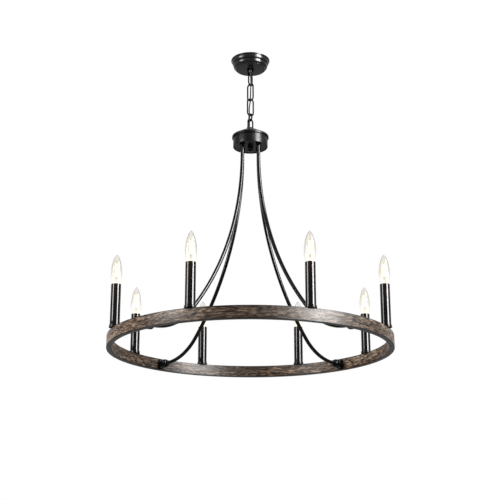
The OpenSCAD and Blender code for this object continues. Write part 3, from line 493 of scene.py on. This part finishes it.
# %% Glass and glow
def lit_glass():
    """Clear glass whose rim turns grey, most at the tip, with cream light above the middle."""
    material, tree, shader = new_finish(
        "bulb_glass_lit", Transmission_Weight=1.0, IOR=1.45, Specular_IOR_Level=0.08
    )
    shader.inputs["Emission Color"].default_value = (1.0, 0.93, 0.80, 1.0)
    at = place(tree)
    foot, tip = ((ring_top + h) * MM for h in (SLEEVE_TOP, BULB_TIP))
    above = spread(tree, split(tree, at)[2], 0.0, 1.0, foot, tip)
    clear = shades(tree, above, [(0.0, (0.955, 0.945, 0.91)), (0.3, (0.985, 0.98, 0.94)),
                                 (0.6, (0.965, 0.935, 0.865)), (0.9, (0.93, 0.92, 0.89))])
    streak = noise(tree, stretched(tree, at, 420.0, 420.0, 26.0), 1.0, 2.0)
    lines = shades(tree, streak, [(0.34, (0.87, 0.86, 0.83)), (0.5, (1, 1, 1))])
    clear = mixed(tree, "MULTIPLY", 1.0, clear, lines)
    facing = add(tree, "LayerWeight", {"Blend": 0.5}).outputs["Facing"]
    rim = spread(tree, facing, 0.0, 1.0, 0.30, 0.85)
    rim = math_node(tree, "MULTIPLY", rim, spread(tree, above, 0.5, 1.0, 0.3, 0.8))
    tint = mixed(tree, "MIX", rim, clear, (0.30, 0.30, 0.305, 1.0))
    tree.links.new(tint, shader.inputs["Base Color"])
    tree.links.new(spread(tree, streak, 0.0, 0.02), shader.inputs["Roughness"])
    tree.links.new(spread(tree, above, 0.12, 0.0, 0.0, 0.35), shader.inputs["Emission Strength"])
    return material


def glowing_filament():
    """A phosphor-coated stick: warm light that is a little stronger in patches."""
    material, tree, shader = new_finish("filament_glow", Roughness=0.6)
    shader.inputs["Base Color"].default_value = (0.9, 0.72, 0.38, 1.0)
    patches = noise(tree, place(tree), 700.0, 2.0)
    tree.links.new(shades(tree, patches, [(0.3, (1.0, 0.88, 0.70)), (0.7, (1.0, 0.94, 0.82))]),
                   shader.inputs["Emission Color"])
    tree.links.new(spread(tree, patches, 0.82, 1.0), shader.inputs["Emission Strength"])
    return material


bulb_glass_lit, filament_glow = lit_glass(), glowing_filament()
print(bulb_glass_lit.name, filament_glow.name)

# %% [markdown]
# ## Finishes on the measured solids
#
# Most solids keep their exact CAD shape and only change their finish. The record gives each
# one a slot, so one table from slot to finish covers all of them, with a few exceptions.

# %% Dress the solids
finish_of = {
    "plated_steel": zinc, "black_metal": black_lacquer, "black_sleeve": sleeve_lacquer,
    "green_screw": green_paint, "terminal_plastic": ivory_plastic, "black_plastic": black_plastic,
    "cord_sheath": wire_skin, "wood_grain_paint": ring_paint, "brass": brass,
    "bulb_glass": bulb_glass_lit, "bulb_brass": brass,
}
special = {"canopy_nipple": threaded_rod, "hub_rod": threaded_rod, "candle_posts": threaded_rod,
           "arm_studs": threaded_stud}
special.update({link: chain_lacquer for link in (
    "canopy_loop", "top_link", "link_2", "link_3", "short_link", "hub_loop")})
special.update({f"arm_{k}": tube_lacquer for k in (1, 2, 3, 4)})
special["hub_plate"] = hub_lacquer
for name, solid in nodes.items():
    for holder in solid.material_slots:
        holder.material = special.get(name) or finish_of[holder.material.name.split(".")[0]]
print(len(nodes), "solids dressed in", len(finish_of), "finishes")

# %% [markdown]
# ## The power cord
#
# A round black cord leaves the terminal block inside the canopy, comes out through a grommet,
# weaves loosely down the chain and goes into the hub. It is as long as its route. The chain
# folds at five places, so the cord is five stretches that meet end to end.

# %% Cord route
cord_route = MM * np.array([
    [0, -13.5, -22.5], [0, -13.5, -26.5], [0, -13.5, -31], [0.1, -13.1, -38], [0.5, -11.8, -46],
    [1, -9.8, -54], [1.4, -7.8, -62], [1.5, -6.6, -70], [1.2, -5.2, -78], [0.8, -2.6, -86],
    [0.5, 0.4, -94], [0.2, 3.4, -102], [0, 5.6, -109], [-0.3, 6.2, -115], [-0.9, 5, -122],
    [-2, 2.2, -130], [-2.9, -1.2, -138], [-3.2, -4.4, -146], [-2.8, -6.4, -154],
    [-2.4, -7.4, -162], [-2.4, -8.2, -170], [-2.5, -9.4, -178], [-2.6, -10.8, -186],
    [-2.7, -11.8, -194], [-2.7, -12.2, -202], [-2.7, -12.2, -213], [-2.7, -12.2, -225.7],
])
CORD_D = 3.2 * MM


def smooth_line(points, steps=8):
    """A smooth curve through the points: between b and c, with neighbours a and d, it is
    (2b + (c-a)t + (2a-5b+4c-d)t^2 + (3b-a-3c+d)t^3) / 2."""
    p = np.concatenate([points[:1], points, points[-1:]])
    a, b, c, d = (q[:, None] for q in (p[:-3], p[1:-2], p[2:-1], p[3:]))
    t = np.arange(steps)[None, :, None] / steps
    square, cube = 2 * a - 5 * b + 4 * c - d, 3 * b - a - 3 * c + d
    curve = (2 * b + (c - a) * t + square * t**2 + cube * t**3) / 2
    return np.concatenate([curve.reshape(-1, 3), points[-1:]])


cord_line = smooth_line(cord_route)
cord_length = np.linalg.norm(np.diff(cord_line, axis=0), axis=1).sum()
print(f"cord: {cord_length * 1000:.1f} mm long")


# %% Tube along a line
def tube(line, radius, steps=16, across=(0.0, 1.0, 0.0)):
    """A round profile carried along a line: at each point, radius times (cos a u + sin a v),
    where u and v are square to the line and u starts from the direction `across`. Both ends
    are closed by rows that shrink to the line's own end points."""
    ahead = np.gradient(line, axis=0)
    ahead /= np.linalg.norm(ahead, axis=1, keepdims=True)
    u = np.cross(np.asarray(across), ahead)
    u /= np.linalg.norm(u, axis=1, keepdims=True)
    v = np.cross(ahead, u)
    a = np.linspace(0, 2 * np.pi, steps + 1)[None, :, None]
    ring = np.cos(a) * u[:, None] + np.sin(a) * v[:, None]
    skin = line[:, None] + np.reshape(radius, (-1, 1, 1)) * ring
    ends = [np.repeat(line[k][None, None], steps + 1, 1) for k in (0, -1)]
    return np.concatenate([ends[0], skin, ends[1]])


# %% Cord jacket and stretches
def jacket():
    """Extruded PVC: fine lengthwise lines from the UV map, with a dull sheen."""
    material, tree, shader = new_finish("cord_jacket", Specular_IOR_Level=0.04)
    uv = add(tree, "TexCoord").outputs["UV"]
    lines = noise(tree, stretched(tree, uv, 60.0, 4000.0, 1.0), 1.0, 2.0)
    tree.links.new(shades(tree, lines, [(0.3, (0.004, 0.004, 0.004)), (0.7, (0.010, 0.010, 0.010))]),
                   shader.inputs["Base Color"])
    tree.links.new(spread(tree, lines, 0.36, 0.5), shader.inputs["Roughness"])
    relief(tree, shader, lines, 0.02 * MM)
    return material


cord_jacket = jacket()
stretches = [
    ("cord_canopy", "ceiling", "top_link", None, -58.0, -30.0, -57.0),
    ("cord_upper", "top_link", "link_2", -58.0, -95.0, -60.0, -87.0),
    ("cord_middle", "link_2", "link_3", -95.0, -137.0, -103.0, -131.0),
    ("cord_lower", "link_3", "short_link", -137.0, -168.0, -151.0, -168.0),
    ("cord_hub", "short_link", "fixture", -168.0, None, -168.5, -183.0),
]


def nearest(height):
    """Number of the cord's point nearest to a height in millimetres."""
    return int(np.abs(cord_line[:, 2] - height * MM).argmin())


for name, upper, lower, top, foot, bend_from, bend_to in stretches:
    first = 0 if top is None else nearest(top)
    last = len(cord_line) - 1 if foot is None else nearest(foot)
    line = cord_line[first:last + 1]
    piece = make_piece(name, [tube(line, CORD_D / 2) / MM], cord_jacket, sharp=50)
    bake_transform(piece)
    stand_in(piece, None, "cord_sheath", "power_cord")

# %% [markdown]
# ## The canopy and the hub
#
# Both are spun from sheet, so each is an outline turned about the middle. Real spinnings have
# soft corners that catch a thin line of light. The outline's corners are therefore rounded,
# and the canopy's two shoulders are quarter ovals with many steps.


# %% Canopy
def shoulder(r_in, z_in, r_out, z_out, steps=24):
    """A quarter oval: radius r_in + (r_out - r_in) sin a, height z_out + (z_in - z_out) cos a."""
    a = np.linspace(0, np.pi / 2, steps)
    return np.stack([r_in + (r_out - r_in) * np.sin(a), z_out + (z_in - z_out) * np.cos(a)], -1)


def walled(outline, wall):
    """A closed outline: the given line, and the same line stepped sideways by the wall, along
    the mean of the directions square to its two neighbouring sides."""
    p = np.asarray(outline, float)
    ahead = np.gradient(p, axis=0)
    ahead /= np.linalg.norm(ahead, axis=1, keepdims=True)
    side = np.stack([-ahead[:, 1], ahead[:, 0]], -1)
    both = np.concatenate([p, (p + wall * side)[::-1]])
    return np.concatenate([both, both[:1]])


canopy_outline = np.concatenate([
    rounded([[5.05, -26.5], [39, -26.5], [40.5, -23.5], [41.1, -23.1]], 0.7),
    shoulder(41.1, -22.9, 45.7, -14.25),
    rounded([[45.6, -14.1], [44.5, -13.6], [44.5, -12.9], [45.6, -12.4]], 0.4),
    shoulder(45.7, -12.25, 49.2, -3.8),
    rounded([[49.2, -3.6], [49.2, -3.0], [51.5, -2.4], [51.5, 0]], 0.5),
])
canopy = make_piece("canopy_cover", [turned(walled(canopy_outline, 1.2), 144)], canopy_lacquer)
stand_in(canopy, "ceiling", "black_metal", "canopy")

# %% Hub cap, hub body and finial
cap_outline = rounded([[5.05, -202.5], [17, -202.5], [47.2, -219.5], [48.2, -220.6], [48.2, -225.5]], 0.9)
cap = make_piece("hub_cap_spun", [turned(walled(cap_outline, -1.5), 144)], hub_lacquer)
stand_in(cap, "fixture", "black_metal", "hub_cap")

body_outline = loop([[43.9, -221.75], [45.4, -221.75], [45.4, -250.7], [42.3, -250.7], [42.3, -249.7],
                     [43.9, -249.7]], 0.6)
body = make_piece("hub_wall", [turned(body_outline, 144)], hub_lacquer)
stand_in(body, "fixture", "black_metal", "hub_body")

angle = np.linspace(0, np.pi / 2, 20)
ball = np.stack([8 * np.cos(angle), -263.7 + 8 * (1 - np.sin(angle))], -1)
finial_outline = np.concatenate([
    [[5.05, -257.7], [5.05, -249.7]],
    rounded([[7.2, -249.7], [8, -249.7], [8, -251.3], [6.6, -252.1], [6.6, -252.9], [8, -255.7]], 0.5),
    ball, [[0, -263.7], [0, -257.7], [5.05, -257.7]],
])
finial = make_piece("hub_knob", [turned(finial_outline, 64)], black_lacquer)
stand_in(finial, "fixture", "black_metal", "hub_finial")

# %% [markdown]
# ## The turned ends of the arms
#
# Where each arm meets the ring there is a domed ferrule and a barrel with rounded edges, made
# on a lathe. Both are outlines turned about the arm's own line, laid down and set at the four
# arm azimuths.

# %% Ferrules and barrels
arm_azimuths = (45, 135, 225, 315)
arm_height = -781.0
ferrule_start, barrel_start = 315.394, 327.394
dome_angle = np.linspace(0, np.pi / 2, 20)
dome = np.stack([5.75 + 5.6 * np.sin(dome_angle), 10 * (1 - np.cos(dome_angle))], -1)
ferrule_outline = np.concatenate([[[4.8, 12], [4.8, 0]], dome, [[11.0, 11.2], [9.35, 12], [4.8, 12]]])
edge = np.linspace(0, np.pi / 2, 8)
barrel_outline = np.concatenate([
    [[4.05, 13], [4.05, 2.5], [4.8, 2.5], [4.8, 0]],
    np.stack([11.75 - 2 * (1 - np.sin(edge)), 2 * (1 - np.cos(edge))], -1),
    np.stack([11.75 - 2 * (1 - np.cos(edge)), 13 - 2 * (1 - np.sin(edge))], -1),
    [[4.05, 13]],
])
for name, outline, out, node in (
    ("arm_ferrule_domes", ferrule_outline, ferrule_start, "arm_ferrules"),
    ("arm_end_barrels", barrel_outline, barrel_start, "arm_barrels"),
):
    ends = [placed(lying(turned(outline, 64)), a, out, arm_height) for a in arm_azimuths]
    stand_in(make_piece(name, ends, black_lacquer), "fixture", "black_metal", node)

# %% [markdown]
# ## The ring
#
# The ring is a channel of bent sheet, closed below by a strip. A bent edge is never sharp, so
# the outline's corners have a radius of about a millimetre. Two fine grooves under the ring
# show where the strip is set between the walls.

# %% Ring shell
RING_IN, RING_OUT, RING_LOW, RING_HIGH = 342.5, 355.5, -796.0, -766.0
GROOVE_AT, GROOVE_HALF, GROOVE_DEEP = 1.2, 0.15, 0.5


def groove(radius):
    """Three points of a groove in the ring's underside, from its outer edge to its inner one."""
    return [[radius + GROOVE_HALF, RING_LOW], [radius, RING_LOW + GROOVE_DEEP],
            [radius - GROOVE_HALF, RING_LOW]]


ring_outline = loop([
    [RING_IN, RING_LOW], [RING_IN, RING_HIGH], [RING_OUT, RING_HIGH], [RING_OUT, RING_LOW],
    *groove(RING_OUT - GROOVE_AT), *groove(RING_IN + GROOVE_AT),
], 1.0)
ring = make_piece("ring_shell", [turned(ring_outline, 360)], ring_paint, sharp=40)
stand_in(ring, "fixture", "wood_grain_paint", "ring_channel", "ring_floor")

# %% [markdown]
# ## The candle sleeves
#
# Each sleeve is a thin black tube over the socket. Its top edge is folded in, so it shines as
# a fine line. All eight are one piece, because none of them moves by itself.

# %% Sleeves
candle_azimuths = (22.5, 67.5, 119.0, 157.5, 202.5, 241.0, 292.5, 337.5)
CANDLE_R = 349.0
sleeve_outline = loop([[10.8, 1.2], [12, 1.2], [12, SLEEVE_TOP], [10.8, SLEEVE_TOP]], 0.55)
sleeves = [placed(turned(sleeve_outline, 64), a, CANDLE_R, ring_top) for a in candle_azimuths]
stand_in(make_piece("candle_tubes", sleeves, sleeve_lacquer), "fixture", "black_sleeve", "candle_sleeves")

# %% [markdown]
# ## The bulbs
#
# Each bulb is a flame of blown glass with a small pip where it was sealed off, a glass stem,
# four glowing sticks on a thin wire frame, and a brass base with a rolled thread. The glass
# is two skins, an outer one and the hollow inside, so that light bends through a thin wall.


# %% Glass skins
GLASS_FOOT, GLASS_WIDE = 105.0, 128.0  # heights of the neck's foot and of the widest place
OUTER_TIP, INNER_TIP = 179.8, 178.6


def flame(z, neck, belly, tip):
    """Radius of the flame at a height: neck + (belly - neck)(1 - w^2.2) up to the widest place,
    with w from 1 to 0, and belly (1 - u^2)^0.6 above it, with u from 0 to 1."""
    w = np.clip((GLASS_WIDE - z) / (GLASS_WIDE - GLASS_FOOT), 0, 1)
    u = np.clip((z - GLASS_WIDE) / (tip - GLASS_WIDE), 0, 1)
    return np.where(z < GLASS_WIDE, neck + (belly - neck) * (1 - w**2.2), belly * (1 - u**2) ** 0.6)


def skin_heights(tip):
    """Heights that lie closer together towards the tip."""
    return np.append(np.linspace(GLASS_FOOT, GLASS_WIDE, 20)[:-1],
                     GLASS_WIDE + (tip - GLASS_WIDE) * np.sin(np.linspace(0, np.pi / 2, 40)))


outer_z = skin_heights(OUTER_TIP)
outer_r = flame(outer_z, 8.0, 14.0, OUTER_TIP)
keep = outer_r > 1.1
pip_a = np.linspace(0, np.pi / 2, 8)
pip = np.stack([1.0 * np.cos(pip_a), 179.4 + 1.6 * np.sin(pip_a)], -1)
pip[-1, 0] = 0.0
outer_skin = np.concatenate([
    [[0, 101], [7, 101], [8, 102]], np.stack([outer_r, outer_z], -1)[keep], pip,
])
inner_z = skin_heights(INNER_TIP)
inner_r = flame(inner_z, 7.3, 13.3, INNER_TIP)
inner_r[-1] = 0.0
inner_skin = np.concatenate([
    [[0, 124], [1.9, 124], [2.5, 123.4], [2.8, 104.5], [3.6, 103.2], [6.6, 103.2]],
    np.stack([inner_r, inner_z], -1),
])
print(len(outer_skin), "points up the glass")

# %% Filaments and their frame
FILAMENTS = 4
STEM_TOP, STICK_FOOT = 124, 124.6
STICK_LENGTH, STICK_LEAN = 36, 2.6
head_z = STEM_TOP + STICK_LENGTH * math.cos(math.asin(STICK_LEAN / STICK_LENGTH))


def stick(start, end, radius, steps=10):
    """A round stick from start to end, with its ends drawn in like a grain of rice."""
    t = np.linspace(0, 1, 15)
    line = np.asarray(start) + t[:, None] * (np.asarray(end, float) - np.asarray(start))
    return tube(line, radius * (1 - (2 * t - 1) ** 8 * 0.6), steps, across=(0.0, 1.0, 0.0))


def tilted_stick(k):
    """Filament k: it leans out from the stem, at its own eighth turn."""
    one = stick((1.7, 0.01, STICK_FOOT), (4.25, 0.01, head_z - 0.6), 0.72)
    return placed(one, 90 + (k + 0.5) * 360 / FILAMENTS)


sticks = [tilted_stick(k) for k in range(FILAMENTS)]
spoke = stick((0.2, 0.0, head_z - 1.5), (3.9, 0.0, head_z - 0.9), 0.3, 8)
spokes = [placed(spoke, 90 + (k + 0.5) * 360 / FILAMENTS) for k in range(FILAMENTS)]
mast = stick((0.0, 0.0, 123.6), (0.0, 0.0, head_z + 1.4), 0.35, 8)
foot_disc = turned([[0, STEM_TOP], [2.0, STEM_TOP], [2.0, 124.7], [0, 124.7]], 32)
print("filaments from", STICK_FOOT, "to", round(head_z, 1), "mm above the ring")


# %% Screw base
THREAD_LOW, THREAD_HIGH, SCREW_PITCH = 85.3, 97.6, 2.4


def screw(steps=72):
    """The rolled thread: at height z and angle t the radius is 5.775 + 0.175 cos(2 pi z / pitch - t),
    faded in and out at its two ends, between a tip below and a plain collar above."""
    t = np.linspace(0, 2 * np.pi, steps + 1)[None, :]
    z = np.linspace(THREAD_LOW, THREAD_HIGH, 70)
    fade = np.clip(np.minimum(z - THREAD_LOW, THREAD_HIGH - z), 0, 1)[:, None]
    r = 5.775 + 0.175 * fade * np.cos(2 * np.pi * z[:, None] / SCREW_PITCH - t)
    wave = np.stack([r * np.cos(t), r * np.sin(t), z[:, None] + 0 * t], -1)
    foot = turned([[0, 81], [1.9, 81], [2.5, 81.6], [2.5, 83], [4.45, 83], [5.6, 84.5]], steps)
    collar = turned([[5.95, 98.5], [5.95, 101], [0, 101]], steps)
    return np.concatenate([foot, wave, collar])


thread = screw()
for k, azimuth in enumerate(candle_azimuths):
    body, at = f"bulb_{k + 1}", (azimuth, CANDLE_R, ring_top)
    glass = make_piece(f"{body}_glass", [placed(turned(outer_skin, 48), *at)], bulb_glass_lit,
                       cavities=[placed(turned(inner_skin, 48), *at)], sharp=60)
    stand_in(glass, body, "bulb_glass", f"bulb_glass_{k + 1}")
    base = make_piece(f"{body}_screw", [placed(thread, *at)], brass, sharp=40)
    stand_in(base, body, "bulb_brass", f"bulb_base_{k + 1}")
    lights = make_piece(f"{body}_filaments", [placed(s, *at) for s in sticks], filament_glow, sharp=60)
    wires = [placed(s, *at) for s in [mast, foot_disc] + spokes]
    wire_frame = make_piece(f"{body}_wires", wires, nickel, sharp=50)
    for piece in (lights, wire_frame):
        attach(piece, body)

# %% [markdown]
# ## Studio
#
# The photograph looks like a white studio with a tall lamp to the right and a weaker one to
# the left, which draw the upright lines on the black tubes. Here two bright cards draw those
# lines and three soft lamps light the surfaces. The background is white for the camera and in
# reflections, while less light than that falls on the object.

# %% Background and floor
world = bpy.data.worlds.new("studio")
scene.world = world
world.use_nodes = True
tree = world.node_tree
tree.nodes.clear()


def seen_rays(tree):
    """1 for rays that the camera, a gloss or a glass sees, and 0 for rays that carry light."""
    path = tree.nodes.new("ShaderNodeLightPath").outputs
    plain = math_node(tree, "MAXIMUM", path["Is Camera Ray"], path["Is Glossy Ray"])
    return math_node(tree, "MAXIMUM", plain, path["Is Transmission Ray"])


backdrop = add(tree, "Background", {"Color": (1.0, 1.0, 1.0, 1.0), "Strength": 1.0})
fill = add(tree, "Background", {"Color": (1.0, 0.99, 0.98, 1.0), "Strength": 0.42})
choice = add(tree, "MixShader", {0: seen_rays(tree), 1: fill.outputs[0], 2: backdrop.outputs[0]})
tree.links.new(choice.outputs[0], add(tree, "OutputWorld").inputs["Surface"])

floor_paint, floor_tree, floor_shader = new_finish("studio_floor", Roughness=0.9, Specular_IOR_Level=0.1)
tone = noise(floor_tree, place(floor_tree), 0.6, 2.0)
floor_tree.links.new(shades(floor_tree, tone, [(0.3, (0.86, 0.86, 0.85)), (0.7, (0.9, 0.9, 0.89))]),
                     floor_shader.inputs["Base Color"])
floor_shader.inputs["Emission Color"].default_value = (1.0, 1.0, 1.0, 1.0)
floor_tree.links.new(math_node(floor_tree, "MULTIPLY", seen_rays(floor_tree), 0.22),
                     floor_shader.inputs["Emission Strength"])
floor_mesh = bpy.data.meshes.new("floor")
reach, level = 40.0, -3.2
floor_mesh.from_pydata([(-reach, -reach, level), (reach, -reach, level), (reach, reach, level),
                        (-reach, reach, level)], [], [(0, 1, 2, 3)])
floor_mesh.materials.append(floor_paint)
floor = bpy.data.objects.new("floor", floor_mesh)
scene.collection.objects.link(floor)
print("floor at", level, "m")


# %% Lamps
def soft_lamp(name, azimuth, distance, height, width, tall, radiance, job, tilt=90):
    """A tall soft lamp that faces the middle of the light. Its power is pi x area x radiance.
    A lamp either lights surfaces or is a bright card that only shows in their gloss. With a
    tilt of 0 it looks straight down."""
    light = bpy.data.lights.new(name, "AREA")
    light.shape, light.size, light.size_y = "RECTANGLE", width, tall
    light.energy = math.pi * width * tall * radiance
    lamp = bpy.data.objects.new(name, light)
    a = math.radians(azimuth)
    lamp.location = (distance * math.sin(a), -distance * math.cos(a), height)
    lamp.rotation_euler = (math.radians(tilt), 0.0, a)
    lamp.visible_camera = False
    lamp.visible_glossy = job == "gloss"
    lamp.visible_diffuse = job == "light"
    lamp.visible_transmission = False
    scene.collection.objects.link(lamp)
    print(f"{name}: {light.energy:.1f} W")


soft_lamp("key", 68.0, 2.4, 0.1, 1.4, 1.6, 3.6, "light")
soft_lamp("fill", -66.0, 2.4, 0.1, 1.4, 1.6, 6.6, "light")
soft_lamp("overhead", 0.0, 0.3, 2.0, 3.0, 3.0, 1.1, "light", tilt=0)
soft_lamp("card_right", 52.0, 2.2, 0.4, 1.0, 2.2, 120.0, "gloss")
soft_lamp("card_left", -58.0, 2.2, 0.0, 0.7, 0.9, 58.0, "gloss")
